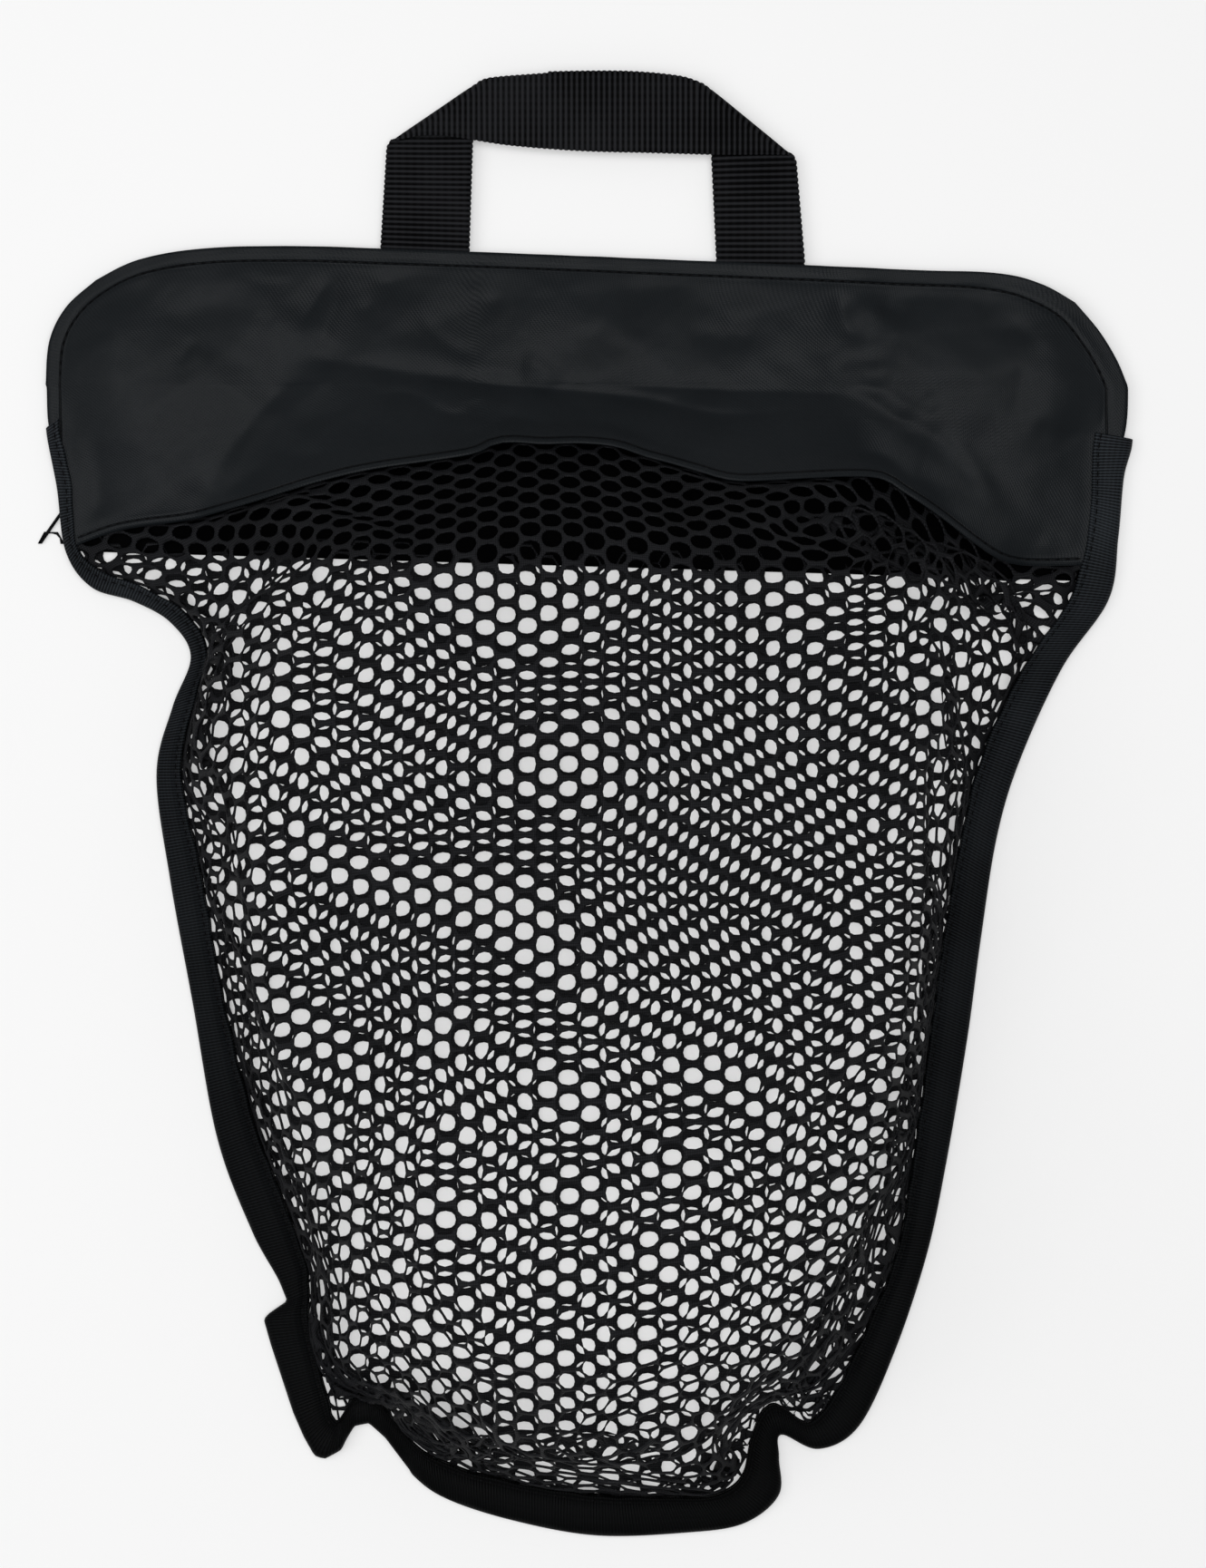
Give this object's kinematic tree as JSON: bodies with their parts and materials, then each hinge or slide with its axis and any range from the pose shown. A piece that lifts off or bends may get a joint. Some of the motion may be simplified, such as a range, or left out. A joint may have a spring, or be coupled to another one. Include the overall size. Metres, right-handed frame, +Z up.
{
  "type": "mesh carry bag",
  "caption": "Flat-bottomed mesh carry bag, filled out, with cloth yokes at an open mouth, a taped edge and a webbing carry handle that swings.",
  "frame": {"origin": "middle of the overall box, on the table that the bag lies on", "axes": "+X to the right across the mouth, +Y along the bag towards the mouth and the handle, +Z up from the table through the bulging front mesh"},
  "size_m": [0.3101, 0.4199, 0.1041],
  "materials": {
    "mesh": "matte knitted yarn",
    "cloth": "plain weave with a slight sheen",
    "binding": "matte ribbed tape",
    "webbing": "matte ribbed webbing"
  },
  "bodies": {
    "bag": {"back_mesh": "mesh", "back_yoke": "cloth", "front_mesh": "mesh", "front_yoke": "cloth", "edge_binding": "binding"},
    "front_lip": {"front_mouth_lip": "cloth"},
    "handle": {"carry_handle": "webbing"}
  },
  "joints": [
    {"name": "lip_open", "type": "hinge", "parent": "bag", "child": "front_lip", "pos_m": [0, 0.1195, 0.0086], "axis": [1, 0, 0], "range_deg": [0, 60]},
    {"name": "handle_swing", "type": "hinge", "parent": "front_lip", "child": "handle", "pos_m": [0, 0.1572, 0.0035], "axis": [0.9993, -0.038, 0], "range_deg": [0, 105]}
  ]
}
